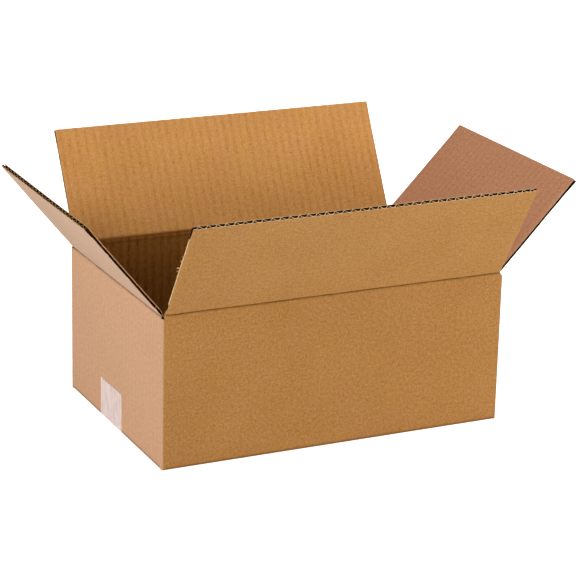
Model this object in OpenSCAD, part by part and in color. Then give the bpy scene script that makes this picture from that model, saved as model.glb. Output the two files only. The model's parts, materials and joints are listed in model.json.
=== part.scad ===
// Regular slotted carton of single-wall corrugated board, standing open.
// The front faces -Y and the length runs along X. The floor is z = 0, and the
// origin is the centre of the footprint.

/* [Box] */
// Length inside, between the end panels
inner_l = 305; // [250:1:450]
// Width inside, between the front and back panels
inner_w = 203; // [150:1:240]
// Height of the end panels' top creases above the floor
crease_h = 131.5; // [80:0.5:300]
// Outside radius of the upright corners, where the side flaps' edges begin
corner_r = 3; // [2:0.25:3.75]
// Outside radius of the folds round the bottom
fold_r = 2; // [1:0.25:3]

/* [Board] */
// Thickness of the corrugated board
board_t = 4; // [3.25:0.25:5]
// Thickness of each flat liner
liner_t = 0.4; // [0.3:0.05:0.6]
// Thickness of the wavy sheet between the liners
medium_t = 0.3; // [0.2:0.05:0.5]
// Distance from one flute to the next
flute_pitch = 7.8; // [5:0.1:10]

/* [Top flaps] */
// How far the front flap leans out from upright, in degrees
front_open = 31.7; // [0:0.1:110]
// How far the back flap leans out from upright, in degrees
back_open = 28.9; // [0:0.1:110]
// How far the left flap leans out from upright, in degrees
left_open = 39.8; // [0:0.1:110]
// How far the right flap leans out from upright, in degrees
right_open = 44.6; // [0:0.1:110]
// Furthest that a flap folds out from upright, in degrees
fold_out = 120; // [90:1:130]
// Length of board that the crease flattens at a flap's foot
crush_l = 5.2; // [4.5:0.1:12]
// Gap between the front and back flaps when they are shut
top_seam = 2; // [0.5:0.5:6]
// How far the slots run down past the creases
slot_drop = 1.5; // [0.5:0.5:5]

/* [Bottom flaps] */
// Gap between the front and back bottom flaps
bottom_seam = 1; // [0.5:0.5:6]
// Length over which an end bottom flap steps up onto the side bottom flaps
step_run = 8; // [6:0.5:20]
// How far in from the end panels' outside the side bottom flaps are cut off
tuck = 5; // [4.2:0.1:12]

/* [Glued seam] */
// Width of the tab glued inside the back panel
tab_w = 35; // [20:1:50]
// How much the tab narrows at its top and at its bottom
tab_taper = 8; // [2:1:15]
// Outside radius of the fold where the tab turns in behind the back panel
tab_fold_r = 1; // [0.5:0.1:2]
// How far short of the end panel's outside the back panel is cut off
lap_set = 0.8; // [0.3:0.1:2]

/* [Tape] */
// Width of the tape along the bottom seam
tape_w = 48; // [36:1:75]
// How far behind the seam the tape's middle lies
tape_shift = 8; // [-20:0.5:20]
// Thickness of the tape
tape_t = 0.1; // [0.05:0.01:0.2]
// Height that the tape reaches up each end panel
tape_leg = 36; // [15:1:70]
// Distance from one tooth of the tape's torn ends to the next
tooth_pitch = 4; // [2:0.5:8]
// Depth of those teeth
tooth_h = 1; // [0.5:0.1:2]

/* [Clearances] */
// Gap between an end flap's side edge and the panel beside it
side_gap = 1; // [0.5:0.1:3]
// Gap between board layers that lie on each other
ply_gap = 0.3; // [0.1:0.05:1]
// Gap between the two crushed edges of board in a top crease
crease_gap = 0.3; // [0.2:0.05:0.5]
// Spare angle in a crease at each end of its travel, in degrees
fold_ease = 1; // [0.5:0.5:3]
// Gap from the tab to the end flaps above and below it
tab_gap = 1; // [0.5:0.5:5]

/* [Hidden] */
$fn = 48;

kraft = [0.72, 0.54, 0.33];
kraft_light = [0.76, 0.60, 0.40];
film = [0.90, 0.84, 0.80, 0.6];

half_l = inner_l / 2 + board_t;
half_w = inner_w / 2 + board_t;
base_z = tape_t;

// A side flap turns about the middle of the board, an end flap about its outer liner.
// Shut, the side flaps lie on the end flaps.
side_axis_in = board_t / 2;
side_axis_z = crease_h + ply_gap + board_t / 2;
flap_l = half_w - side_axis_in - top_seam / 2;

side_flap_w = 2 * (half_l - corner_r);
end_flap_w = inner_w - 2 * side_gap;

// Angles from level of the slopes that the crushed creases leave
slope_in = (90 + fold_ease) / 2;
slope_out = (fold_out + fold_ease) / 2;
tip = crease_gap / 2;

// Where an end panel's top starts to slope away on the inside
bevel_z = crease_h - board_t * tan(slope_in);
// Inside face of the back panel
seam_y = half_w - board_t;

// The step of an end bottom flap
step_z = board_t + ply_gap;
step_end = fold_r + step_run;
step_slope = step_z / step_run;

wave_h = board_t / 2 - liner_t - medium_t / 2;
flute_reach = 0.4;
flute_points = 5;
arc_steps = 6;

// Round outside of a bottom fold, from upright to level, in (distance in, height).
// The radius is the fold's own plus the thickness of what covers it.
function fold_arc(cover) = [
    for (i = [0 : arc_steps])
        let (a = 90 * i / arc_steps)
        [fold_r - (fold_r + cover) * cos(a), base_z + fold_r - (fold_r + cover) * sin(a)]
];

// Section of a side panel and its bottom flap, in (distance in, height)
function side_section() = concat(
    [
        [side_axis_in + tip / tan(slope_in), side_axis_z - tip],
        [side_axis_in - tip / tan(slope_out), side_axis_z - tip],
        [0, side_axis_z - side_axis_in * tan(slope_out)]
    ],
    fold_arc(0),
    [
        [half_w - bottom_seam / 2, base_z],
        [half_w - bottom_seam / 2, base_z + board_t],
        [board_t, base_z + board_t],
        [board_t, side_axis_z - (board_t - side_axis_in) * tan(slope_in)]
    ]
);

// Section of an end panel and the start of its bottom flap, in (distance in, height)
function end_section() = concat(
    [
        [tip / tan(slope_in), crease_h - tip],
        [0, crease_h - tip]
    ],
    fold_arc(0),
    [
        [step_end, base_z + step_z],
        [step_end + board_t, base_z + step_z],
        [step_end + board_t, base_z + step_z + board_t],
        [step_end, base_z + step_z + board_t],
        [board_t, base_z + step_z + board_t - (step_end - board_t) * step_slope],
        [board_t, bevel_z]
    ]
);

// Stands a section upright, facing -Y, and draws it out along X
module along_x(length) {
    translate([-length / 2, 0, 0])
        rotate([90, 0, 90])
            linear_extrude(length)
                children();
}

// Front panel and its bottom flap
module side_strip() {
    translate([0, -half_w, 0])
        along_x(side_flap_w)
            polygon(side_section());
}

// Left panel and its bottom flap, whose flutes are open at its free edge
module end_strip() {
    translate([-half_l, 0, 0])
        rotate([0, 0, -90]) {
            along_x(end_flap_w)
                polygon(end_section());
            translate([0, step_end, base_z + step_z + board_t / 2])
                rotate([-90, 0, 0])
                    linear_extrude(flap_l - step_end)
                        fluted_section(end_flap_w);
        }
}

// Room under the end bottom flap's step, taken out of the side bottom flaps' ends
module step_room() {
    room_w = end_flap_w + 2 * ply_gap;
    bevel_end = fold_r + (board_t + ply_gap) / step_slope;
    translate([-half_l, 0, 0])
        rotate([0, 0, -90])
            along_x(room_w)
                polygon([
                    [corner_r - ply_gap, base_z - ply_gap],
                    [tuck, base_z - ply_gap],
                    [tuck, base_z + (tuck - fold_r) * step_slope - ply_gap],
                    [bevel_end, base_z + board_t],
                    [bevel_end, base_z + board_t + ply_gap],
                    [corner_r - ply_gap, base_z + board_t + ply_gap]
                ]);
}

module bar(left, front, right, back) {
    translate([left, front])
        square([right - left, back - front]);
}

// A corner's round outside: the quarter of a disc that points left or right, and front or back
module round_corner(x, y, r, right, back) {
    intersection() {
        translate([x, y])
            circle(r);
        bar(right ? x : x - r, back ? y : y - r, right ? x + r : x, back ? y + r : y);
    }
}

// Plan of the four panels. Three corners are folds. At the back right one the end panel
// turns in behind the back panel's cut edge.
module wall_plan() {
    corner_x = half_l - corner_r;
    corner_y = half_w - corner_r;
    bar(-corner_x, -half_w, corner_x, board_t - half_w);
    bar(-corner_x, seam_y, half_l - lap_set, half_w);
    bar(-half_l, -corner_y, board_t - half_l, corner_y);
    bar(half_l - board_t, -corner_y, half_l, seam_y - tab_fold_r);
    bar(half_l - board_t, -corner_y, half_l - tab_fold_r, half_w - board_t / 2);
    round_corner(-corner_x, -corner_y, corner_r, false, false);
    round_corner(corner_x, -corner_y, corner_r, true, false);
    round_corner(-corner_x, corner_y, corner_r, false, true);
    round_corner(half_l - tab_fold_r, seam_y - tab_fold_r, tab_fold_r, true, true);
}

// What stands between the slots: the plan without the flaps' widths
module corner_plan() {
    difference() {
        wall_plan();
        square([side_flap_w, 3 * half_w], center = true);
        square([3 * half_l, end_flap_w], center = true);
    }
}

module upright(from_z, to_z) {
    translate([0, 0, from_z])
        linear_extrude(to_z - from_z)
            children();
}

// Tab that carries on from the right panel and is glued flat inside the back panel
module glued_tab() {
    low = base_z + step_z + board_t + tab_gap;
    high = bevel_z - tab_gap;
    root = half_l - board_t / 2;
    tip_x = half_l - board_t - tab_w;
    translate([0, seam_y, 0])
        rotate([90, 0, 0])
            linear_extrude(board_t)
                polygon([[root, low], [root, high], [tip_x, high - tab_taper], [tip_x, low + tab_taper]]);
}

// Four panels, the glued tab and the four bottom flaps: one sheet, folded
module box_body() {
    color(kraft) {
        difference() {
            for (side = [0, 1])
                mirror([0, side, 0])
                    side_strip();
            for (end = [0, 1])
                mirror([end, 0, 0])
                    step_room();
        }
        for (end = [0, 1])
            mirror([end, 0, 0])
                end_strip();
        upright(base_z + fold_r, bevel_z)
            wall_plan();
        upright(base_z + fold_r, crease_h - slot_drop)
            corner_plan();
        glued_tab();
    }
}

// One hollow of the flutes, between the wavy medium's trough and the liner above it
module flute_hollow() {
    liner_y = board_t / 2 - liner_t;
    trough = [
        for (i = [0 : flute_points - 1])
            let (u = flute_reach * (2 * i / (flute_points - 1) - 1))
            [u * flute_pitch, medium_t / 2 - wave_h * cos(360 * u)]
    ];
    polygon(concat(trough, [
        [flute_reach * flute_pitch, liner_y],
        [-flute_reach * flute_pitch, liner_y]
    ]));
}

// Section across the flutes, with its edges cut straight through them
module fluted_section(wide) {
    half_count = ceil(wide / 2 / flute_pitch);
    difference() {
        square([wide, board_t], center = true);
        for (i = [-half_count : half_count])
            translate([i * flute_pitch, 0])
                flute_hollow();
        for (i = [-half_count : half_count - 1])
            translate([(i + 0.5) * flute_pitch, 0])
                mirror([0, 1])
                    flute_hollow();
    }
}

// Top flap, upright, turning about X with its outside towards +Y. The flutes run up
// from inside the crushed foot and are open along the free edge.
module flap(wide, axis_in) {
    flutes_from = crush_l - liner_t;
    outer = axis_in > 0 ? [[tip / tan(slope_out), tip], [axis_in, axis_in * tan(slope_out)]] : [[0, tip]];
    foot = concat(
        [[-tip / tan(slope_in), tip]],
        outer,
        [
            [axis_in, crush_l],
            [axis_in - board_t, crush_l],
            [axis_in - board_t, (board_t - axis_in) * tan(slope_in)]
        ]
    );
    along_x(wide)
        polygon(foot);
    translate([0, axis_in - board_t / 2, flutes_from])
        linear_extrude(flap_l - flutes_from)
            fluted_section(wide);
}

module front_flap() {
    color(kraft_light)
        translate([0, side_axis_in - half_w, side_axis_z])
            rotate([0, 0, 180])
                rotate([-front_open, 0, 0])
                    flap(side_flap_w, side_axis_in);
}

module back_flap() {
    color(kraft_light)
        translate([0, half_w - side_axis_in, side_axis_z])
            rotate([-back_open, 0, 0])
                flap(side_flap_w, side_axis_in);
}

module left_flap() {
    color(kraft_light)
        translate([-half_l, 0, crease_h])
            rotate([0, 0, 90])
                rotate([-left_open, 0, 0])
                    flap(end_flap_w, 0);
}

module right_flap() {
    color(kraft_light)
        translate([half_l, 0, crease_h])
            rotate([0, 0, -90])
                rotate([-right_open, 0, 0])
                    flap(end_flap_w, 0);
}

// Part of the tape on the left end panel, with its torn, toothed edge up
module tape_leg_left() {
    teeth = round(tape_w / tooth_pitch);
    edge = [
        for (i = [0 : 2 * teeth])
            [tape_w * (i / (2 * teeth) - 0.5), tape_leg - (i % 2) * tooth_h]
    ];
    foot_z = base_z + fold_r;
    translate([-half_l, 0, 0])
        rotate([90, 0, -90])
            linear_extrude(tape_t)
                polygon(concat([[tape_w / 2, foot_z], [-tape_w / 2, foot_z]], edge));
}

// One strip of clear tape over the bottom seam and up both end panels
module bottom_tape() {
    inside = fold_arc(0);
    outside = fold_arc(tape_t);
    left = [for (i = [arc_steps : -1 : 0]) outside[i]];
    bend = concat(inside, left);
    color(film)
        translate([0, tape_shift, 0]) {
            for (end = [0, 1])
                mirror([end, 0, 0]) {
                    tape_leg_left();
                    translate([-half_l, 0, 0])
                        rotate([0, 0, -90])
                            along_x(tape_w)
                                polygon(bend);
                }
            translate([fold_r - half_l, -tape_w / 2, 0])
                cube([2 * (half_l - fold_r), tape_w, tape_t]);
        }
}

box_body();
front_flap();
back_flap();
left_flap();
right_flap();
bottom_tape();
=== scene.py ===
import json
import math

import bmesh
import bpy
from mathutils import Matrix, Vector, noise


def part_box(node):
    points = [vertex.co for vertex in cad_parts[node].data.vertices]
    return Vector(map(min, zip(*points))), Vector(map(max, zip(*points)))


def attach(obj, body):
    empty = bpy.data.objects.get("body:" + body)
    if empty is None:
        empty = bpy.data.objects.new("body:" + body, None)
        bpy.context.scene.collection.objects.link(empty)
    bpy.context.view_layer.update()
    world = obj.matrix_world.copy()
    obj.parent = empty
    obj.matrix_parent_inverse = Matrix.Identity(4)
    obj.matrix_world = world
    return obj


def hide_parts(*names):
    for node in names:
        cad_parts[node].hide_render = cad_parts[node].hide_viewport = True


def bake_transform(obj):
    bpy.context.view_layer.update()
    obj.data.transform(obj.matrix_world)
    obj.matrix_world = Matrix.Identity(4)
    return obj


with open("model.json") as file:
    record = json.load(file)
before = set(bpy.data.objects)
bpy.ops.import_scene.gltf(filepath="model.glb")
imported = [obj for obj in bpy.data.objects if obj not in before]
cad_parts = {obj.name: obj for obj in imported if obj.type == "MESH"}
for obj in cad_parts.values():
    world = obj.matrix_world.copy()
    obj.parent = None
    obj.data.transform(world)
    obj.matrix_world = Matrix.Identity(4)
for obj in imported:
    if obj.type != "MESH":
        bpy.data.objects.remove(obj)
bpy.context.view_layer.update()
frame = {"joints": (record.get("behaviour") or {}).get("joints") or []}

# Walls: the carton is one die-cut sheet of single-wall corrugated board, two kraft liners glued to
# the crests of a waved medium. Its four panels are scored and folded round, and a tab on the right
# panel is glued inside the back panel, so the back panel's cut edge shows at that corner.
board = 0.004
liner = 0.00045
flute_pitch = 0.0078
flute_columns = 8
corner_round = 0.0028
crook_round = 0.0006
outer_sink = 0.00006  # how deep the outer liner sinks between the flutes' crests
inner_sink = 0.00014  # the same for the inner liner
rib_uneven = 0.7
side_crease = 0.005  # half the height of the front and back flaps' creases
end_crease = 0.0088  # the same for the left and right flaps
tip_clearance = 0.0004
slot_floor = 0.0015  # from an end flap's hinge down to the floor of the slots
slot_brow = 0.001  # from a side flap's hinge down to the top of the corner posts
post_lift = 0.0002  # from the carton's underside up to the corner posts
wall_foot = 0.012  # from the carton's underside up to where the bottom folds begin
wall_rows = 22
wall_bow = 0.0007
pocket = 0.003  # how deep an open cut edge goes
edge_strip = 0.0003

carton_low, carton_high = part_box("box_body")
half_length, half_width = carton_high.x, carton_high.y
floor_height = carton_low.z

# a flap's outer face lies its cover outside the hinge line, and its lean is counted from upright
flaps = {}
for joint in frame["joints"]:
    hinge = Vector(joint["pos_m"])
    low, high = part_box(joint["child"])
    side = abs(joint["axis"][0]) > 0.5
    lean = math.radians(joint["range_deg"][1] - 90)
    cover = half_width - abs(hinge.y) if side else half_length - abs(hinge.x)
    flaps[joint["child"]] = {
        "hinge": hinge,
        "side": side,
        "lean": lean,
        "cover": cover,
        "crease": side_crease if side else end_crease,
        "width": high.x - low.x if side else high.y - low.y,
        "length": (high.z - hinge.z - (board - cover) * math.sin(lean)) / math.cos(lean) - tip_clearance,
    }
side_flap, end_flap = flaps["front_flap"], flaps["left_flap"]
slot_height = end_flap["hinge"].z - slot_floor
tab_width = 0.039
tab_ends = (0.0094, 0.1264)
tab_taper = 0.008
cut_edge_x = 0.1557


def wobble(x, y=0.0, z=0.0):
    """A smooth unevenness from -1 to 1, the same on every run."""
    return noise.noise(Vector((x + 0.37, y + 0.61, z + 0.83)))


def ease(share):
    """A smooth step from 0 to 1."""
    share = min(1.0, max(0.0, share))
    return share * share * (3 - 2 * share)


def bell(off, reach):
    """A smooth bump, 1 in the middle and nearly 0 at twice its reach."""
    return math.exp(-((off / reach) ** 2))


def washboard(along, inside):
    """How far a liner sinks between the flute crests it is glued to, that far from its middle."""
    wave = math.cos(2 * math.pi * along / flute_pitch)
    uneven = 1 + rib_uneven * wobble(along * 60, 4.0 if inside else 9.0)
    if inside:
        return inner_sink * uneven * (1 - wave) / 2
    return outer_sink * uneven * (1 + wave) / 2


def columns_across(width):
    """Where a board's columns of points stand, eight to a flute, counted from its middle."""
    step = flute_pitch / flute_columns
    count = int(width / 2 / step - 0.8)
    middle = [step * i for i in range(-count, count + 1)]
    return [-width / 2, -width / 2 + edge_strip] + middle + [width / 2 - edge_strip, width / 2]


inner_shift = 0.7  # keeps the inner side's pattern from repeating the outer side's


def lay_paper(mesh, columns, rows, thickness, place, paints):
    """Lays one sheet of paper into mesh, upright in the XZ plane with its outer side towards -Y.
    place gives the outer face's point for a column and row, and paints number the materials of
    the outer side, the inner side and the cut edges."""
    sheet = bmesh.new()
    across, up = len(columns) - 1, len(rows) - 1
    bmesh.ops.create_grid(sheet, x_segments=across, y_segments=up, size=0.5)
    for point in sheet.verts:
        column = columns[round((point.co.x + 0.5) * across)]
        row = rows[round((point.co.y + 0.5) * up)]
        point.co = place(column, row)
    sheet.normal_update()
    bmesh.ops.solidify(sheet, geom=sheet.faces[:], thickness=thickness)
    sheet.normal_update()
    grain = sheet.loops.layers.uv.new("grain")
    for face in sheet.faces:
        facing = face.normal.y
        face.material_index = paints[0] if facing < -0.5 else paints[1] if facing > 0.5 else paints[2]
        face.smooth = True
        for corner in face.loops:
            shift = inner_shift if facing > 0.5 else 0.0
            corner[grain].uv = (corner.vert.co.x + shift, corner.vert.co.z)
    laid = bpy.data.meshes.new("laid")
    sheet.to_mesh(laid)
    sheet.free()
    mesh.from_mesh(laid)
    bpy.data.meshes.remove(laid)


def shift_grain(mesh, across, up):
    """Moves the paper's pattern, so that it runs on from one piece of the sheet to the next."""
    grain = mesh.loops.layers.uv["grain"]
    for face in mesh.faces:
        for corner in face.loops:
            corner[grain].uv.x += across
            corner[grain].uv.y += up


def board_bend(outer, depth):
    """The radius of a fold that deep in the board, which the score crushes on its inner side."""
    return outer + (crook_round - outer) * depth / board


def follow(path, along, depth, bend):
    """Where a point lies once its sheet is folded along a path of runs that each turn left: its
    distance along the outer face, its depth behind that face, and the folds' radius there."""
    run = 0
    while run < len(path) - 2 and along > (path[run + 1] - path[run]).length:
        along -= (path[run + 1] - path[run]).length
        run += 1
    start, end = path[run], path[run + 1]
    ahead = (end - start).normalized()
    inward = Vector((-ahead.y, ahead.x))
    turns = []
    if run > 0:
        turns.append((start, (start - path[run - 1]).normalized(), ahead, along))
    if run < len(path) - 2:
        turns.append((end, ahead, (path[run + 2] - end).normalized(), along - (end - start).length))
    reach = depth + bend
    for corner, before, after, past in turns:
        if abs(past) < reach:
            angle = (past / reach + 1) * math.pi / 4
            centre = corner + (after - before) * reach
            return centre + (before * math.sin(angle) - after * math.cos(angle)) * bend
    return start + ahead * along + inward * depth


rim_width = 0.00003


def hollow_out(mesh, cut, into, hollow_paint):
    """Opens a cut edge of the board up between its two liners, as deep as the vector into."""
    bmesh.ops.inset_region(mesh, faces=cut, thickness=liner)
    rim = bmesh.ops.inset_region(mesh, faces=cut, thickness=rim_width)["faces"]
    for v in {v for f in cut for v in f.verts}:
        v.co += into
    for face in cut + rim:
        face.material_index = hollow_paint


def paint(red, green, blue):
    """A colour as it looks on screen, from 0 to 255, as the linear colour that a shader takes."""
    shares = [c / 255 for c in (red, green, blue)]
    return [s / 12.92 if s < 0.04 else ((s + 0.055) / 1.055) ** 2.4 for s in shares] + [1]


def put(tree, kind, settings=None, **inputs):
    """Adds a node with its settings. An input named i0, i1 and so on goes by its number."""
    made = tree.nodes.new(kind)
    for name, value in (settings or {}).items():
        setattr(made, name, value)
    for name, value in inputs.items():
        numbered = name[0] == "i" and name[1:].isdigit()
        socket = made.inputs[int(name[1:])] if numbered else made.inputs[name.replace("_", " ")]
        if isinstance(value, bpy.types.NodeSocket):
            tree.links.new(value, socket)
        else:
            socket.default_value = value
    return made


def reckon(tree, operation, a, b=0.0, c=0.0):
    """A Math node's result."""
    return put(tree, "ShaderNodeMath", {"operation": operation}, i0=a, i1=b, i2=c).outputs[0]


def smooth_range(tree, value, low, high, to_low=0.0, to_high=1.0):
    """A Map Range node's result, eased at both ends."""
    smooth = {"interpolation_type": "SMOOTHSTEP"}
    made = put(tree, "ShaderNodeMapRange", smooth, Value=value, i1=low, i2=high, i3=to_low, i4=to_high)
    return made.outputs[0]


def mix_colours(tree, share, a, b, how="MIX"):
    """A Mix node's colour."""
    made = put(tree, "ShaderNodeMix", {"data_type": "RGBA", "blend_type": how}, i0=share, i6=a, i7=b)
    return made.outputs[2]


def new_group(name, takes, gives):
    """A shader node group with those inputs and outputs, and its two end nodes."""
    tree = bpy.data.node_groups.new(name, "ShaderNodeTree")
    kinds = {"vector": "NodeSocketVector", "colour": "NodeSocketColor", "value": "NodeSocketFloat"}
    for label, kind in takes.items():
        tree.interface.new_socket(label, in_out="INPUT", socket_type=kinds[kind])
    for label, kind in gives.items():
        tree.interface.new_socket(label, in_out="OUTPUT", socket_type=kinds[kind])
    return tree, tree.nodes.new("NodeGroupInput").outputs, tree.nodes.new("NodeGroupOutput").inputs


# The look of kraft paper: pulp mottling, long fibres along the web, dark specks of bark, the ribs
# along the glued flutes, partly showing through and partly painted shade, and the brown lines of
# crushed scores, darkened partly as painted shade, with painted shade and shadow on corners and bottom
# folds.
kraft, given, result = new_group(
    "kraft paper",
    {"Surface": "vector", "Paper": "colour", "Deep": "colour", "Grain": "value", "Fibres": "value",
     "Specks": "value", "Ribs": "value", "Patches": "value", "Fineness": "value", "Crush and shade": "value"},
    {"Colour": "colour", "Roughness": "value", "Height": "value"},
)


def paper_noise(stretch, scale, detail, roughness=0.5):
    """A noise from 0 to 1 over the paper, finer along an axis that is stretched."""
    spot = put(kraft, "ShaderNodeMapping", None, Vector=given["Surface"], Scale=stretch).outputs[0]
    made = put(kraft, "ShaderNodeTexNoise", None, Vector=spot, Scale=scale, Detail=detail,
               Roughness=roughness)
    return made.outputs[0]


def weigh(value, weight, onto):
    """A noise about its middle, times a weight, added on."""
    return reckon(kraft, "MULTIPLY_ADD", reckon(kraft, "SUBTRACT", value, 0.5), weight, onto)


even = (1.0, 1.0, 1.0)
cloud = paper_noise(even, scale=16.0, detail=2.0)
pulp = paper_noise(even, scale=330.0, detail=2.0, roughness=0.6)
flock = paper_noise(even, scale=given["Fineness"], detail=1.0)
fibre = paper_noise((1.0, 6.5, 1.0), scale=110.0, detail=4.0, roughness=0.65)
strand = paper_noise((5.0, 1.0, 1.0), scale=130.0, detail=3.0)
tone = paper_noise(even, scale=42.0, detail=3.0)

# the glued crests show inside as broken dark lines, one for each flute, partly the glue showing
# through and partly painted shade of the washboard ribs
line_sharpness = 26.0
line_depth = 0.75
rib_depth = 0.9
strand_depth = 1.4
across = put(kraft, "ShaderNodeSeparateXYZ", None, Vector=given["Surface"]).outputs[0]
swing = reckon(kraft, "COSINE", reckon(kraft, "MULTIPLY", across, math.pi / flute_pitch))
glue_line = reckon(kraft, "POWER", reckon(kraft, "ABSOLUTE", swing), line_sharpness)
dashes = smooth_range(kraft, paper_noise((1.6, 1.0, 1.0), scale=170.0, detail=2.0), 0.50, 0.66)
rib = paper_noise((3.0, 0.5, 1.0), scale=40.0, detail=2.0)
soft_rib = reckon(kraft, "MULTIPLY", reckon(kraft, "MULTIPLY", swing, swing), rib)
ribs = reckon(kraft, "MULTIPLY", reckon(kraft, "MULTIPLY", glue_line, dashes), line_depth)
ribs = weigh(strand, strand_depth, reckon(kraft, "MULTIPLY_ADD", soft_rib, rib_depth, ribs))

# one cell in seven of the pattern holds a speck, and the rarest are the largest
speck_rarity = 0.86
speck_growth = 0.62
speck_rim = 0.03
surface = given["Surface"]
speck_spot = put(kraft, "ShaderNodeMapping", None, Vector=surface, Scale=(1.0, 1.8, 1.0)).outputs[0]
speck = put(kraft, "ShaderNodeTexVoronoi", None, Vector=speck_spot, Scale=120.0)
speck_chance = put(kraft, "ShaderNodeSeparateColor", None, Color=speck.outputs["Color"]).outputs[0]
speck_size = reckon(kraft, "MULTIPLY", reckon(kraft, "SUBTRACT", speck_chance, speck_rarity), speck_growth)
from_speck = reckon(kraft, "SUBTRACT", speck.outputs["Distance"], speck_size)
chosen = reckon(kraft, "GREATER_THAN", speck_chance, speck_rarity)
speck_mask = reckon(kraft, "MULTIPLY", smooth_range(kraft, from_speck, speck_rim, 0.0), chosen)

# shade swings blue most and red least, which keeps the paper brown, and tint turns it yellower
pulp_share = 0.6
red_swing, green_swing, blue_swing = 0.75, 1.0, 1.6
green_tint, blue_tint = 0.25, -1.2
pulp_weight = reckon(kraft, "MULTIPLY", given["Grain"], pulp_share)
shade = weigh(flock, given["Grain"], weigh(pulp, pulp_weight, 0.0))
shade = weigh(fibre, given["Fibres"], weigh(cloud, given["Patches"], shade))
shade = reckon(kraft, "SUBTRACT", shade, reckon(kraft, "MULTIPLY", ribs, given["Ribs"]))
tint = reckon(kraft, "MULTIPLY", reckon(kraft, "SUBTRACT", tone, 0.5), given["Patches"])
red = reckon(kraft, "MULTIPLY_ADD", shade, red_swing, 1.0)
green = reckon(kraft, "MULTIPLY_ADD", shade, green_swing, 1.0)
green = reckon(kraft, "MULTIPLY_ADD", tint, green_tint, green)
blue = reckon(kraft, "MULTIPLY_ADD", shade, blue_swing, 1.0)
blue = reckon(kraft, "MULTIPLY_ADD", tint, blue_tint, blue)
mottling = put(kraft, "ShaderNodeCombineColor", None, Red=red, Green=green, Blue=blue).outputs[0]
tinted = mix_colours(kraft, 1.0, given["Paper"], mottling, "MULTIPLY")
marked = mix_colours(kraft, reckon(kraft, "MULTIPLY", speck_mask, given["Specks"]), tinted, given["Deep"])
kraft.links.new(mix_colours(kraft, given["Crush and shade"], marked, given["Deep"]), result["Colour"])
fibre_relief = 0.5
roughness_swing, least_roughness = 0.12, 0.78
roughness = reckon(kraft, "MULTIPLY_ADD", flock, roughness_swing, least_roughness)
kraft.links.new(roughness, result["Roughness"])
relief = reckon(kraft, "MULTIPLY_ADD", fibre, fibre_relief, reckon(kraft, "ADD", pulp, flock))
kraft.links.new(relief, result["Height"])


relief_strength = 0.4
relief_depth = 0.0001


def kraft_material(name, paper, deep, grain=0.85, fibres=0.3, specks=0.8, ribs=0.0, patches=0.2,
                   fineness=620.0, crush_and_shade=0.0, shine=0.08):
    """A kraft paper surface, whose colours are those of the paper and of its dark specks. A mesh's
    crush-and-shade attribute darkens its score lines, partly as crushing and partly as painted shade,
    and paints shade along the walls' corners and a shadow along the bottom folds."""
    made = bpy.data.materials.new(name)
    made.use_nodes = True
    tree = made.node_tree
    shader = tree.nodes["Principled BSDF"]
    surface = put(tree, "ShaderNodeUVMap", {"uv_map": "grain"}).outputs[0]
    look = put(tree, "ShaderNodeGroup", {"node_tree": kraft}, Surface=surface)
    settings = {"Paper": paint(*paper), "Deep": paint(*deep), "Grain": grain, "Fibres": fibres,
                "Specks": specks, "Ribs": ribs, "Patches": patches, "Fineness": fineness}
    for label, value in settings.items():
        look.inputs[label].default_value = value
    pressed = put(tree, "ShaderNodeAttribute", {"attribute_name": "crush_and_shade"}).outputs["Fac"]
    tree.links.new(reckon(tree, "MULTIPLY", pressed, crush_and_shade), look.inputs["Crush and shade"])
    tree.links.new(look.outputs["Colour"], shader.inputs["Base Color"])
    tree.links.new(look.outputs["Roughness"], shader.inputs["Roughness"])
    shader.inputs["Specular IOR Level"].default_value = shine
    bump = put(tree, "ShaderNodeBump", None, Strength=relief_strength, Distance=relief_depth,
               Height=look.outputs["Height"])
    tree.links.new(bump.outputs[0], shader.inputs["Normal"])
    return made


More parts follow.
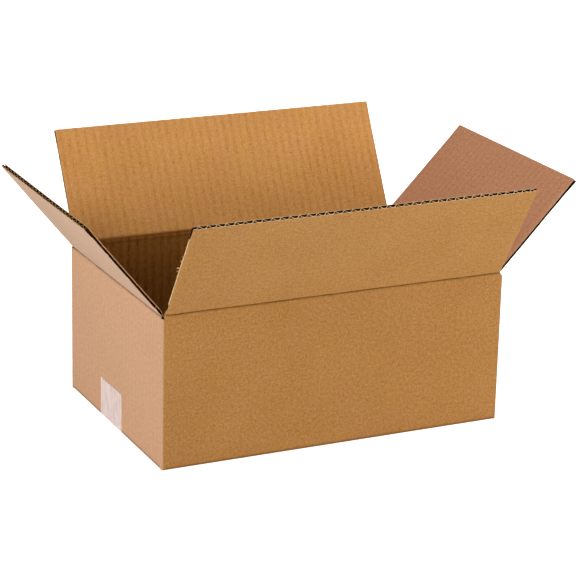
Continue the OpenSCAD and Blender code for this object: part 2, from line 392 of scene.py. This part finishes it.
papers = [
    kraft_material("kraft_outside", (168, 120, 67), (110, 68, 22), crush_and_shade=0.82),
    # the front and back walls' inside: the inner paper painted darker, as painted shade inside the box
    kraft_material("kraft_inside_painted_shade", (140, 93, 39), (92, 52, 12), ribs=0.48, crush_and_shade=0.7),
    # the end panels' outside: the same outer paper painted pinker and lighter, as painted light from the
    # left
    kraft_material("kraft_end_outside_painted_light", (202, 159, 126), (96, 58, 32), grain=0.36, fibres=0.08,
                   specks=0.4, ribs=0.05, patches=0.05, fineness=400.0, crush_and_shade=0.95),
    # the end walls' inside: the inner paper painted darker, as painted shade inside the box
    kraft_material("kraft_end_inside_painted_shade", (154, 112, 62), (90, 52, 22), ribs=0.3, crush_and_shade=0.8),
    kraft_material("kraft_cut_edge", (200, 160, 116), (120, 80, 44), grain=1.1, specks=0.2),
    kraft_material("kraft_torn_edge", (226, 196, 154), (150, 110, 70), grain=1.2, specks=0.2),
    # the medium: painted near black, as painted shade inside the flutes; it also paints the liners' hidden
    # sides and the hollows
    kraft_material("kraft_hollow_painted_shade", (60, 30, 10), (40, 20, 8), specks=0.2, shine=0.0),
    # the side flaps' outside: the same outer paper painted lighter, as painted light from below
    kraft_material("kraft_flap_outside_painted_light", (179, 131, 76), (110, 68, 22), grain=0.75, fibres=0.5, crush_and_shade=0.82),
    kraft_material("kraft_flap_inside", (193, 139, 80), (92, 52, 12), grain=0.6, ribs=0.22,
                   patches=0.3, crush_and_shade=0.7),
    # the end flaps' outside: the outer paper painted pinker and lighter, as painted light from the left and
    # from below
    kraft_material("kraft_end_flap_outside_painted_light", (209, 176, 150), (96, 58, 32), grain=0.4, fibres=0.12,
                   specks=0.4, patches=0.08, fineness=450.0, crush_and_shade=0.95),
    # the end flaps' inside: the inner paper painted pinker, as painted light from the left
    kraft_material("kraft_end_flap_inside_painted_light", (193, 138, 103), (100, 58, 34), grain=0.75, ribs=0.05,
                   patches=0.1, crush_and_shade=0.8),
]
(SIDE_OUT, SIDE_IN_PAINTED_SHADE, END_OUT_PAINTED_LIGHT, END_IN_PAINTED_SHADE, CUT, TORN, HOLLOW_PAINTED_SHADE,
 SIDE_FLAP_OUT_PAINTED_LIGHT, SIDE_FLAP_IN, END_FLAP_OUT_PAINTED_LIGHT, END_FLAP_IN_PAINTED_LIGHT) = range(len(papers))


crisp_from = math.radians(40)


def face_place(face):
    """A number that puts a mesh's faces in the order of their points, the same on every run."""
    first, second, third = sorted(point.index for point in face.verts)[:3]
    return (first * 1e5 + second) * 1e5 + third


def piece(name, mesh, materials):
    """Makes the finished piece, with its cut edges crisp and its papers smooth."""
    mesh.verts.index_update()
    mesh.faces.sort(key=face_place)
    data = bpy.data.meshes.new(name)
    mesh.to_mesh(data)
    mesh.free()
    data.set_sharp_from_angle(angle=crisp_from)
    for material in materials:
        data.materials.append(material)
    made = bpy.data.objects.new(name, data)
    bpy.context.scene.collection.objects.link(made)
    return made


# the folded ring starts at the back panel's cut edge and ends at the tab's free edge
tab_plane = half_width - board
plan = [Vector(p) for p in (
    (cut_edge_x, half_width), (-half_length, half_width), (-half_length, -half_width),
    (half_length, -half_width), (half_length, tab_plane), (half_length - tab_width, tab_plane))]
lengths = [(b - a).length for a, b in zip(plan, plan[1:])]
corners = [sum(lengths[:i]) for i in range(len(lengths) + 1)]
end_middles = [corners[i] + half_width for i in (1, 3)]
middles = [cut_edge_x, end_middles[0], corners[2] + half_length, end_middles[1], corners[5]]
panel_flaps = [side_flap, end_flap, side_flap, end_flap, None]
TAB = 4
grain_rise = 0.3  # sets each panel's paper pattern apart from the next one's
slot_cut = 0.00004  # the slots' side edges are two columns of points this far apart


def panel_at(along):
    """The number of the panel at that distance round the sheet."""
    return max(i for i in range(TAB + 1) if along >= corners[i] - 1e-9)


def wall_ends(along):
    """The heights of the sheet's lower and upper edge: short of the creases, down to the floor and
    up to the slots at the corners, and tapered on the glued tab."""
    panel = panel_at(along)
    off = along - middles[panel]
    if panel == TAB:
        taper = tab_taper * max(0.0, (along - corners[TAB] - board) / (tab_width - board))
        return tab_ends[0] + taper, tab_ends[1] - taper
    flap = panel_flaps[panel]
    if abs(off) <= flap["width"] / 2:
        return floor_height + wall_foot, flap["hinge"].z - flap["crease"]
    brow = flap["hinge"].z - slot_brow - slot_height if flap["side"] else 0.0
    span = lengths[panel] / 2 - flap["width"] / 2
    top = slot_height + brow * (1 - ease((abs(off) - flap["width"] / 2) / span))
    return floor_height + post_lift, top


def is_post(along):
    """Whether that distance round the sheet is in a corner post, between the flaps."""
    panel = panel_at(along)
    if panel == TAB:
        return False
    return abs(along - middles[panel]) > panel_flaps[panel]["width"] / 2 + slot_cut / 2


near_corner = 0.0065
fold_reach = 0.0062
fold_columns = 12
rim_columns = (0.0, 0.0004, 0.003)
ring_columns = set()
for panel in range(TAB + 1):
    first, last = corners[panel], corners[panel + 1]
    step = flute_pitch / flute_columns
    count = int(half_length / step) + 1
    places = [middles[panel] + step * i for i in range(-count, count + 1)]
    ring_columns.update(round(p, 7) for p in places if first + near_corner < p < last - near_corner)
    if panel != TAB:
        half = panel_flaps[panel]["width"] / 2
        edges = [middles[panel] + s * (half + e) for s in (-1, 1) for e in (0.0, slot_cut)]
        ring_columns.update(round(p, 7) for p in edges if first < p < last)
for corner in corners[1:-1]:
    steps = range(-fold_columns, fold_columns + 1)
    ring_columns.update(round(corner + fold_reach * i / fold_columns, 7) for i in steps)
for end, inner in ((corners[0], 1), (corners[-1], -1)):
    ring_columns.update(end + inner * off for off in rim_columns)
ring_columns = sorted(ring_columns)
ring_rows = [i / wall_rows for i in range(wall_rows + 1)]


def wall_point(along, share):
    """A point of the sheet before it is folded, a share of the way up it."""
    low, high = wall_ends(along)
    return along, 0.0, low + (high - low) * share


corner_wrap = 0.0004  # how far the end panels' painted colours reach round the corners: painted light outside, painted shade inside
# how strong the painted shade along the corners' outside is
corner_painted_shade = 0.24
score_reach = 0.0012
ribless = 0.003  # how far from a corner the ribs begin to show, and over what length
rib_onset = 0.006
walls = bmesh.new()
lay_paper(walls, ring_columns, ring_rows, board, wall_point, (SIDE_OUT, SIDE_IN_PAINTED_SHADE, CUT))
# the sheet's open cut edges and the corner posts' tops are hollowed out and painted near black, as painted
# shade
for end, into in ((corners[0], pocket), (corners[-1], -pocket)):
    cut = [f for f in walls.faces if all(abs(v.co.x - end) < 1e-6 for v in f.verts)]
    hollow_out(walls, cut, Vector((into, 0, 0)), HOLLOW_PAINTED_SHADE)
for into in (-pocket, pocket):
    cut = [f for f in walls.faces if f.material_index == CUT and f.normal.z * into < -0.3 * pocket]
    posts = [f for f in cut if all(is_post(v.co.x) for v in f.verts)]
    hollow_out(walls, posts, Vector((0, 0, into)), HOLLOW_PAINTED_SHADE)
crush_and_shade = walls.verts.layers.float.new("crush_and_shade")
grain = walls.loops.layers.uv["grain"]
for face in walls.faces:
    middle = face.calc_center_median().x
    panel = panel_at(middle)
    near_panels = {panel_at(max(0.0, middle - corner_wrap)), panel_at(middle + corner_wrap)}
    # the end panels' faces take the end papers, with painted light outside and painted shade inside
    if near_panels & {1, 3} and face.material_index in (SIDE_OUT, SIDE_IN_PAINTED_SHADE):
        face.material_index += END_OUT_PAINTED_LIGHT - SIDE_OUT
    for corner in face.loops:
        corner[grain].uv.x -= middles[panel]
        corner[grain].uv.y += grain_rise * panel
for point in walls.verts:
    along, depth, height = point.co
    panel = panel_at(along)
    off = along - middles[panel]
    nearest = min(abs(along - c) for c in corners)
    flat = ease((nearest - ribless) / rib_onset)
    inside = depth > board / 2
    sink = washboard(off, inside) * flat
    depth += -sink if inside else sink
    share = (height - floor_height) / (slot_height - floor_height)
    if panel != TAB:
        half = lengths[panel] / 2
        away = (along - (corners[panel] + half)) / half
        bow = wall_bow * (1 - away * away) * math.sin(math.pi * min(1, max(0, share))) ** 2
        depth += bow * (0.6 + 0.5 * wobble(panel * 3.1))
    plan_point = follow(plan, along, depth, board_bend(corner_round, depth))
    # the outer paper gets a band of painted shade along each corner
    point[crush_and_shade] = 0.0 if inside else corner_painted_shade * bell(nearest, score_reach)
    point.co = (plan_point.x, plan_point.y, height)
carton_walls = piece("carton_walls", walls, papers)
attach(carton_walls, "box")
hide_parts("box_body")

# Bottom flaps: four flaps of the same sheet, folded in under the walls. The end flaps go in first
# and step up over the side flaps, which meet in the middle and are held shut by the tape.
wave_height = 0.0014
medium = 0.0004
tip_rows = (0.0012, 0.0003, 0.0)
edge_pinch = 0.0016  # how far in from a cut edge the cutting rule pinches the board
closing = 0.92
closing_reach = 0.0005  # how far in a pinched edge's papers are pressed together
tip_reach = 0.005  # how far in from the free edge the flutes lean
ragged_reach = 0.0006
side_ragged = 0.00025
tip_ragged = 0.0003
wave_shy = 0.0002
shut_span = (0.08, 0.86)  # the part of a hard-pinched edge's height that is pressed shut
shut_reach = 0.0012
hard_pinch = 0.5  # an edge pinched by more than this is pressed shut
tip_hold = 0.3  # how much of the pinch is left where an edge meets the free edge
tip_pinch = 0.1
hair = 0.0001
foot_rows = 10
run_rows = 16
bottom_rises = 14
fold_run = 0.011
fold_round = 0.0015
# a line of painted shadow along the outside of the walls' foot, just above the floor: its place and
# strength
foot_shadow_offset = 0.0010
foot_painted_shadow = 0.9
bottom_seam = 0.001
step_height = 0.0043
step_ends = (0.002, 0.0098)
tuck = 0.005  # the length of the side flaps' ends that the end flaps press flat
tuck_press = 0.62
side_narrowing = 0.002


def corrugated_board(mesh, width, root, tip, rises, paints, pinches=(0.2, 0.2)):
    """Lays a corrugated board into mesh: outer liner, medium and inner liner, standing on root and
    open at tip. Its outer face is at y 0. The cutting rules pinch its two side edges by pinches,
    left and right, and its free edge a little."""
    columns = columns_across(width)
    rise = tip - root
    rows = [root + rise * i / rises for i in range(rises)] + [tip - off for off in tip_rows]
    outside, inside = paints

    def ragged(u, v, layer):
        near_side = bell(width / 2 - abs(u), ragged_reach)
        near_tip = bell(tip - v, ragged_reach)
        u -= math.copysign(side_ragged * near_side * abs(wobble(v * 330, u * 9, layer)), u)
        v -= tip_ragged * near_tip * abs(wobble(u * 500, 5, layer))
        return u, v

    def outer_point(u, v):
        x, z = ragged(u, v, 0.0)
        return x, washboard(u, False), z

    def medium_point(u, v):
        swing = math.cos(2 * math.pi * u / flute_pitch)
        leaning = 2 * abs(math.cos(math.pi * u / flute_pitch)) ** 5 - 1
        swing += (leaning - swing) * bell(tip - v, tip_reach)
        v -= wave_shy * bell(tip - v, ragged_reach)
        return u, board / 2 - medium / 2 + swing * wave_height, v

    def inner_point(u, v):
        x, z = ragged(u, v, 7.0)
        return x, board - liner - washboard(u, True), z

    # the liners' hidden sides and the medium are painted near black, as painted shade inside the flutes
    lay_paper(mesh, columns, rows, liner, outer_point, (outside, HOLLOW_PAINTED_SHADE, CUT))
    hard_pinched = [pinch > hard_pinch for pinch in pinches]
    wave_edge = TORN if any(hard_pinched) else CUT
    lay_paper(mesh, columns, rows, medium, medium_point, (HOLLOW_PAINTED_SHADE, HOLLOW_PAINTED_SHADE, wave_edge))
    lay_paper(mesh, columns, rows, liner, inner_point, (HOLLOW_PAINTED_SHADE, inside, CUT))
    for face in mesh.faces:
        middle = face.calc_center_median()
        from_side, share = width / 2 - abs(middle.x), (middle.z - root) / rise
        on_edge = from_side < hair
        in_core = liner * 0.6 < middle.y < board - liner * 0.6
        pressed_shut = hard_pinched[middle.x > 0] and shut_span[0] < share < shut_span[1]
        if pressed_shut and (on_edge or from_side < shut_reach and face.material_index == HOLLOW_PAINTED_SHADE):
            face.material_index = TORN
        # the core of an open side edge is painted near black, as painted shade
        elif on_edge and in_core:
            face.material_index = HOLLOW_PAINTED_SHADE
    for point in mesh.verts:
        pinch = pinches[0] if point.co.x < 0 else pinches[1]
        share = (point.co.z - root) / rise
        from_side = width / 2 - abs(point.co.x)
        from_middle = point.co.y - board / 2
        hold = tip_hold + (1 - tip_hold) * ease((1 - share) / 0.18)
        if pinch > hard_pinch and abs(from_middle) < board / 2 - 0.7 * liner:
            # the papers close on each other, except close to the crease and to the free edge
            shut = ease((share - 0.04) / 0.08) * ease((1 - share) / 0.1 - 0.8)
            from_middle *= 1 - closing * bell(from_side, closing_reach) * shut
        thin = 1 - pinch * hold * bell(from_side, edge_pinch)
        thin -= tip_pinch * bell(tip - point.co.z, edge_pinch)
        point.co.y = board / 2 + from_middle * thin


def bottom_flap(name, number, side, turn, tip):
    """One bottom flap: the fold round the wall's foot, and the board that lies on from it."""
    fold, flap = bmesh.new(), bmesh.new()
    width = side_flap["width"] if side else end_flap["width"]
    rows = [wall_foot * (i / foot_rows - 1) for i in range(foot_rows)]
    rows += [fold_run * i / run_rows for i in range(run_rows + 1)]
    paints = (SIDE_OUT, SIDE_IN_PAINTED_SHADE) if side else (END_OUT_PAINTED_LIGHT, END_IN_PAINTED_SHADE)
    lay_paper(fold, columns_across(width), rows, board, lambda u, v: (u, 0, v), paints + (CUT,))
    corrugated_board(flap, width, fold_run, tip, bottom_rises, paints)
    span = half_width if side else half_length
    heights = (floor_height + wall_foot, floor_height, floor_height)
    path = [Vector(p) for p in zip((-span, -span, 0), heights)]
    crush_and_shade = fold.verts.layers.float.new("crush_and_shade")
    for point in fold.verts:
        # painted shadow along the wall's foot, on its outside, just above the floor
        foot_shadow = foot_painted_shadow * bell(point.co.z + foot_shadow_offset, score_reach)
        point[crush_and_shade] = foot_shadow if point.co.y < board / 2 else 0.0
    for mesh, folded in ((fold, True), (flap, False)):
        shift_grain(mesh, 0.0, grain_rise * number - fold_run)
        for point in mesh.verts:
            u, depth, v = point.co
            inside = depth > board / 2
            lift = 0.0
            if folded:
                sink = washboard(u, inside) * (1 - 0.7 * bell(v, 0.004))
                depth += -sink if inside else sink
            if side:
                end = ease((abs(u) - (width / 2 - tuck)) / tuck)
                depth *= 1 - tuck_press * end * ease((v + 0.001) / 0.002)
                u *= 1 - side_narrowing / (width / 2) * ease((v - 0.001) / 0.003)
            else:
                lift = step_height * ease((v - step_ends[0]) / (step_ends[1] - step_ends[0]))
            place = follow(path, wall_foot + v, depth, board_bend(fold_round, depth))
            point.co = (u, place.x, place.y + lift)
        spin = Matrix.Rotation(turn, 4, "Z")
        bmesh.ops.transform(mesh, matrix=spin, verts=mesh.verts[:])
    joined = bpy.data.meshes.new("joined")
    flap.to_mesh(joined)
    fold.from_mesh(joined)
    bpy.data.meshes.remove(joined)
    made = piece(name, fold, papers)
    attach(made, "box")
    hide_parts("box_body")


side_bottom_reach = half_width - bottom_seam / 2
bottom_flap("bottom_back_flap", 0, True, math.pi, side_bottom_reach)
bottom_flap("bottom_left_flap", 1, False, -math.pi / 2, end_flap["length"])
bottom_flap("bottom_front_flap", 2, True, 0.0, side_bottom_reach)
bottom_flap("bottom_right_flap", 3, False, math.pi / 2, end_flap["length"])

# Tape: a strip of clear packing tape along the bottom seam and up both ends, cut with a toothed
# blade. Its adhesive makes it hazy, with streaks along its length and a bright edge.
tape_low, tape_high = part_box("bottom_tape")
film = 0.0001
tooth_pitch = 0.006
tooth_height = 0.0022
tear_height = 0.0004
tooth_run = 0.006  # how far in from the cut the rows of points still follow its teeth
tape_strips = 96
tape_width = tape_high.y - tape_low.y
tape_middle = (tape_high.y + tape_low.y) / 2
tape_leg = tape_high.z - tape_low.z
tape_path = [Vector(p) for p in (
    (tape_low.x, tape_high.z), (tape_low.x, tape_low.z),
    (tape_high.x, tape_low.z), (tape_high.x, tape_high.z))]
tape_length = sum((b - a).length for a, b in zip(tape_path, tape_path[1:]))
tape_columns = [tape_width * (i / tape_strips - 0.5) for i in range(tape_strips + 1)]
leg_rows, half_rows, corner_rows, corner_step = 24, 20, 9, 0.0005
tape_rows = [tape_leg * i / leg_rows for i in range(leg_rows)]
tape_rows += [tape_leg + corner_step * i for i in range(-corner_rows, corner_rows + 1)]
tape_rows += [tape_leg + (tape_length / 2 - tape_leg) * i / half_rows for i in range(1, half_rows + 1)]
tape_rows = sorted(set(tape_rows + [tape_length - r for r in tape_rows]))


def tape_point(across, along):
    """A point of the flat strip, whose ends are drawn back between the blade's teeth."""
    near_end = min(along, tape_length - along)
    tooth = abs((across / tooth_pitch) % 1 - 0.5) * 2 * tooth_height
    tear = tooth * (0.75 + 0.5 * wobble(across * 180, 2.0))
    tear += tear_height * (1 + wobble(across * 90, 7.0))
    shift = tear * (1 - ease(near_end / tooth_run))
    return across, 0.0, along + (shift if along < tape_length / 2 else -shift)


strip = bmesh.new()
lay_paper(strip, tape_columns, tape_rows, film, tape_point, (0, 0, 0))
for point in strip.verts:
    across, depth, along = point.co
    place = follow(tape_path, along, depth, fold_round + film - depth)
    point.co = (place.x, tape_middle - across, place.y)
tape_film = bpy.data.materials.new("clear_tape_film")
tape_film.use_nodes = True
tree = tape_film.node_tree
shader = tree.nodes["Principled BSDF"]
surface = put(tree, "ShaderNodeUVMap", {"uv_map": "grain"}).outputs[0]
drawn = put(tree, "ShaderNodeMapping", None, Vector=surface, Scale=(1.0, 0.08, 1.0)).outputs[0]
streak = put(tree, "ShaderNodeTexNoise", None, Vector=drawn, Scale=330.0, Detail=3.0).outputs[0]
haze = put(tree, "ShaderNodeTexNoise", None, Vector=surface, Scale=90.0, Detail=4.0).outputs[0]
from_middle = reckon(tree, "ABSOLUTE", put(tree, "ShaderNodeSeparateXYZ", None, Vector=surface).outputs[0])
rim_start, rim_full = 0.0022, 0.0006  # how far in from the tape's side edges its bright rim lies
rim = smooth_range(tree, from_middle, tape_width / 2 - rim_start, tape_width / 2 - rim_full)
patchy = reckon(tree, "MULTIPLY_ADD", haze, 0.8, reckon(tree, "MULTIPLY", streak, 0.5))
rim_cover = 0.85
cover = put(tree, "ShaderNodeMapRange", None, Value=patchy, i1=0.45, i2=0.85, i3=0.62, i4=0.86).outputs[0]
cover = reckon(tree, "MAXIMUM", cover, reckon(tree, "MULTIPLY", rim, rim_cover))
tree.links.new(cover, shader.inputs["Alpha"])
tape_dull, tape_pale, tape_rim = paint(226, 203, 197), paint(234, 216, 211), paint(246, 224, 206)
clouded = mix_colours(tree, smooth_range(tree, streak, 0.3, 0.7), tape_dull, tape_pale)
tree.links.new(mix_colours(tree, rim, clouded, tape_rim), shader.inputs["Base Color"])
shader.inputs["Roughness"].default_value = 0.3
shader.inputs["IOR"].default_value = 1.46
strip_piece = piece("bottom_seam_tape", strip, [tape_film])
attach(strip_piece, "box")
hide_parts("bottom_tape")

# Top flaps: each is a corrugated board that goes on from its wall across a scored crease. The
# score crushes the flutes flat, so the liners dip there, and the board bends along that line.
# The cutting rule left slivers of torn liner standing on the near edges of two flaps.
crease_rows = 22
score_rows = (-0.0010, -0.0006, -0.0002, 0.0002, 0.0006, 0.0010)
least_gap = 0.00012
crease_dip = 0.0009
dip_reach = 0.0006
crease_press = 0.0004
press_reach = 0.0019
bead_rise = 0.0005  # the ridge that the score raises inside, just under it
bead_place = 0.0022
bead_reach = 0.0014
inner_score_reach = 0.0011
end_crush = 0.0014  # how far the end flaps' creases are crushed, so that the side flaps shut over them
end_crush_reach = 0.0026
lay_under = 0.00012  # how far the end flaps lie under the side flaps
# how far to either side of its hinge line a crease turns, and how far it is bent as it lies open:
# True for the front and back flaps, False for the end flaps
bend_run = {True: 0.0016, False: 0.0022}
crease_wander = 0.00045
flap_warp = 0.0009
flap_rises = 30
tuft_start, tuft_spread, tuft_scatter = 0.16, 0.72, 0.05  # as shares of the flap's length
tuft_reach, tuft_vary = 0.0008, 0.0006
tuft_root = 0.0003
# the front flap's slivers are longer, and the longest stand halfway along its edge
side_tuft_more, long_tuft_more = 0.0002, 0.0015
long_tuft_place, long_tuft_spread = 0.55, 0.13


def scored_crease(flap, below, above, seed, pinches):
    """The crushed strip between a wall and its flap, standing about its hinge line and bent to the
    flap's lean, with the brown score lines along its outside and inside, darkened partly by the
    crushing and partly as painted shade. below and above are the papers of its outside and inside."""
    reach, half = flap["crease"], flap["width"] / 2
    strip = bmesh.new()
    rows = [reach * (2 * i / crease_rows - 1) for i in range(crease_rows + 1)]
    rows = sorted(rows + list(score_rows))
    rows = [r for i, r in enumerate(rows) if i == 0 or r - rows[i - 1] > least_gap]
    lay_paper(strip, columns_across(flap["width"]), rows, board, lambda u, v: (u, 0, v), below + (CUT,))
    for face in strip.faces:
        if face.calc_center_median().z > 0 and face.material_index in below:
            face.material_index = above[below.index(face.material_index)]
    for edge in (-half, half):
        cut = [f for f in strip.faces if all(abs(v.co.x - edge) < 1e-6 for v in f.verts)]
        # an open side edge's hollow is painted near black as painted shade, unless the edge is pinched
        pinched = pinches[edge > 0] > hard_pinch
        depth = pocket / 4 if pinched else pocket
        hollow_out(strip, cut, Vector((-math.copysign(depth, edge), 0, 0)), CUT if pinched else HOLLOW_PAINTED_SHADE)
    crush_and_shade = strip.verts.layers.float.new("crush_and_shade")
    for point in strip.verts:
        u, depth, v = point.co
        if liner / 2 < depth < board - liner / 2 and abs(v) > reach - 2 * liner:
            v = math.copysign(reach - 0.00005, v)
        inside = depth > board / 2
        still = 1 - bell(v, 0.45 * reach)
        sink = washboard(u, inside) * (0.25 + 0.75 * still)
        line = v - crease_wander * (wobble(u * 45, seed) + 0.5 * wobble(u * 210, seed + 3))
        flute = math.cos(2 * math.pi * u / flute_pitch)
        if inside:
            depth += bead_rise * bell(line + bead_place, bead_reach)
            depth -= 0.6 * crease_press * bell(line, 0.0008) + sink
            if not flap["side"]:
                depth -= end_crush * bell(v, end_crush_reach)
            # the inner score line is darkened partly by the crushing and partly as painted shade
            point[crush_and_shade] = bell(line, inner_score_reach)
        else:
            dip = crease_dip * bell(line, dip_reach) * (1 + 0.15 * flute)
            depth += dip + crease_press * bell(line, press_reach) + sink
            # the outer score line is darkened partly by the crushing and partly as painted shade in its
            # valley
            point[crush_and_shade] = bell(line, score_reach) * (0.85 + 0.3 * wobble(u * 130, seed + 8))
        pinch = pinches[u > 0] * bell(half - abs(u), edge_pinch) * ease(0.4 + 0.6 * v / reach)
        depth = board / 2 + (depth - board / 2) * (1 - pinch)
        angle = flap["lean"] * ease(v / bend_run[flap["side"]] / 2 + 0.5)
        y = depth - flap["cover"]
        if not flap["side"]:
            y += lay_under * ease(v / reach / 2 + 0.5)
        point.co = (u, y * math.cos(angle) - v * math.sin(angle), y * math.sin(angle) + v * math.cos(angle))
    return strip


sliver = 0.00012


def add_tuft(mesh, edge, height, depth, reach, curl):
    """A sliver of torn liner that stands out from a flap's side edge and curls over."""

    def sliver_point(out, across):
        half_wide = 0.35 * reach * (1 - 0.5 * out)
        x = edge + math.copysign(1, edge) * (reach * out - tuft_root)
        return x, depth - curl * out * out, height + half_wide * across + 0.4 * curl * out

    steps = [i / 5 for i in range(6)]
    lay_paper(mesh, steps, [-1, 0, 1], sliver, sliver_point, (CUT, CUT, CUT))


def top_flap(name, number, turn, below, above, seed, pinches, tufts=0, tuft_side=-1):
    """A top flap's crease, bent at rest to the flap's lean, and its board, which turns about the hinge."""
    flap = flaps[name]
    stand = Matrix.Translation(flap["hinge"]) @ Matrix.Rotation(turn, 4, "Z")
    tilt = Matrix.Rotation(flap["lean"], 4, "X")
    strip = scored_crease(flap, below, above, seed, pinches)
    shift_grain(strip, 0.0, grain_rise * number + flap["hinge"].z)
    bmesh.ops.transform(strip, matrix=stand, verts=strip.verts[:])
    crease_piece = piece(name + "_crease", strip, papers)
    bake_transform(crease_piece)

    sheet = bmesh.new()
    corrugated_board(sheet, flap["width"], flap["crease"], flap["length"], flap_rises, above, pinches)
    for i in range(tufts):
        place = tuft_start + tuft_spread * i / tufts + tuft_scatter * wobble(i * 5.3, 2.0)
        height = flap["length"] * place
        reach = tuft_reach + tuft_vary * wobble(i * 3.7, 8.0)
        if flap["side"]:
            reach += side_tuft_more + long_tuft_more * bell(i / tufts - long_tuft_place, long_tuft_spread)
        depth = board * (0.5 + 0.3 * wobble(i * 2.9, 4.0))
        curl = 0.4 * reach * wobble(i * 7.1, 6.0)
        add_tuft(sheet, tuft_side * flap["width"] / 2, height, depth, reach, curl)
    shift_grain(sheet, 0.0, grain_rise * number + flap["hinge"].z)
    for point in sheet.verts:
        u, depth, v = point.co
        free = ease((v - flap["crease"]) / flap["length"])
        waves = wobble(u * 6, seed) + 0.6 * wobble(v * 14, seed + 5)
        if flap["side"]:
            curl = flap_warp * free * (0.5 * waves - 0.15)
        else:
            curl = flap_warp * free * (0.8 * waves + 1.0) + lay_under
        point.co.y = depth - flap["cover"] + curl
    bmesh.ops.transform(sheet, matrix=stand @ tilt, verts=sheet.verts[:])
    board_piece = piece(name + "_board", sheet, papers)
    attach(board_piece, name)
    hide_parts(name)


side_papers = (SIDE_OUT, SIDE_IN_PAINTED_SHADE), (SIDE_FLAP_OUT_PAINTED_LIGHT, SIDE_FLAP_IN)
end_papers = (END_OUT_PAINTED_LIGHT, END_IN_PAINTED_SHADE), (END_FLAP_OUT_PAINTED_LIGHT, END_FLAP_IN_PAINTED_LIGHT)
top_flap("back_flap", 0, math.pi, *side_papers, 3.0, (0.35, 0.5))
top_flap("left_flap", 1, -math.pi / 2, *end_papers, 4.0, (0.3, 0.42), tufts=9, tuft_side=1)
top_flap("front_flap", 2, 0.0, *side_papers, 1.0, (0.66, 0.55), tufts=16)
top_flap("right_flap", 3, math.pi / 2, *end_papers, 2.0, (0.42, 0.3))

# Studio: a plain white floor and backdrop, soft boxes on all sides and overhead, and the camera
# where the photograph's was, found from the carton's corners.
azimuth, elevation, roll = math.radians(-25.68), math.radians(18.22), math.radians(1.35)
aim = Vector((0.00413, 0.0, 0.10524))
distance = 2.05
image_width, focal_length = 576, 2368.1
back = Vector((math.sin(azimuth) * math.cos(elevation), -math.cos(azimuth) * math.cos(elevation),
               math.sin(elevation)))
right = Vector((0, 0, 1)).cross(back).normalized()
up = back.cross(right)
image_right = right * math.cos(roll) + up * math.sin(roll)
image_up = up * math.cos(roll) - right * math.sin(roll)
camera_data = bpy.data.cameras.new("camera")
camera_data.sensor_width = 36
camera_data.lens = focal_length / image_width * camera_data.sensor_width
camera_data.clip_start = 0.1
camera = bpy.data.objects.new("camera", camera_data)
bpy.context.scene.collection.objects.link(camera)
turned = Matrix((image_right, image_up, back)).transposed().to_4x4()
camera.matrix_world = Matrix.Translation(aim + back * distance) @ turned
bpy.context.scene.camera = camera

ambient = 0.06
world = bpy.data.worlds.new("studio")
bpy.context.scene.world = world
world.use_nodes = True
tree = world.node_tree
paths = put(tree, "ShaderNodeLightPath").outputs
mirrored = reckon(tree, "MAXIMUM", paths["Is Glossy Ray"], paths["Is Transmission Ray"])
seen = reckon(tree, "MAXIMUM", paths["Is Camera Ray"], mirrored)
backdrop = tree.nodes["Background"]
backdrop.inputs["Color"].default_value = (1, 1, 1, 1)
glow = put(tree, "ShaderNodeMapRange", None, Value=seen, i3=ambient, i4=1.0).outputs[0]
tree.links.new(glow, backdrop.inputs["Strength"])

floor_half = 4.0
floor_grey = (0.82, 0.82, 0.82, 1)
shadow_edge = (0.2, 0.6)  # from and to how far from the carton the floor brightens to plain white
near_glow = 0.74
floor_mesh = bmesh.new()
bmesh.ops.create_grid(floor_mesh, x_segments=4, y_segments=4, size=floor_half)
floor = piece("floor", floor_mesh, [])
floor_paint = bpy.data.materials.new("white_floor")
floor_paint.use_nodes = True
tree = floor_paint.node_tree
shader = tree.nodes["Principled BSDF"]
shader.inputs["Base Color"].default_value = floor_grey
shader.inputs["Roughness"].default_value = 0.9
shader.inputs["Specular IOR Level"].default_value = 0.1
shader.inputs["Emission Color"].default_value = (1, 1, 1, 1)
paths = put(tree, "ShaderNodeLightPath").outputs
mirrored = reckon(tree, "MAXIMUM", paths["Is Glossy Ray"], paths["Is Transmission Ray"])
seen = reckon(tree, "MAXIMUM", paths["Is Camera Ray"], mirrored)
spot = put(tree, "ShaderNodeTexCoord").outputs["Object"]
from_carton = put(tree, "ShaderNodeVectorMath", {"operation": "LENGTH"}, i0=spot).outputs["Value"]
glow = smooth_range(tree, from_carton, *shadow_edge, near_glow, 1.0)
tree.links.new(reckon(tree, "MULTIPLY", seen, glow), shader.inputs["Emission Strength"])
floor.data.materials.append(floor_paint)


lit_point = Vector((0, 0, 0.1))


def soft_box(name, place, width, height, power):
    """A soft box that faces the carton, with its size in metres and its power in watts."""
    data = bpy.data.lights.new(name, "AREA")
    data.shape = "RECTANGLE"
    data.size = width
    data.size_y = height
    data.energy = power
    lamp = bpy.data.objects.new(name, data)
    lamp.visible_camera = False
    lamp.location = place
    lamp.rotation_euler = (Vector(place) - lit_point).to_track_quat("Z", "Y").to_euler()
    bpy.context.scene.collection.objects.link(lamp)


soft_box("front_box", (0.3, -2.4, 0.8), 1.6, 0.9, 28)
soft_box("right_box", (0.9, -0.8, 0.5), 0.5, 0.4, 3.6)
soft_box("left_box", (-1.9, -0.7, 1.4), 1.0, 1.0, 26)
soft_box("left_low_box", (-2.4, -0.2, 0.4), 1.6, 0.7, 17)
soft_box("top_box", (0.75, -0.05, 1.3), 0.8, 0.7, 8)
soft_box("back_box", (1.3, 2.0, 0.35), 1.6, 0.7, 24)

bpy.context.scene.view_settings.view_transform = "Standard"
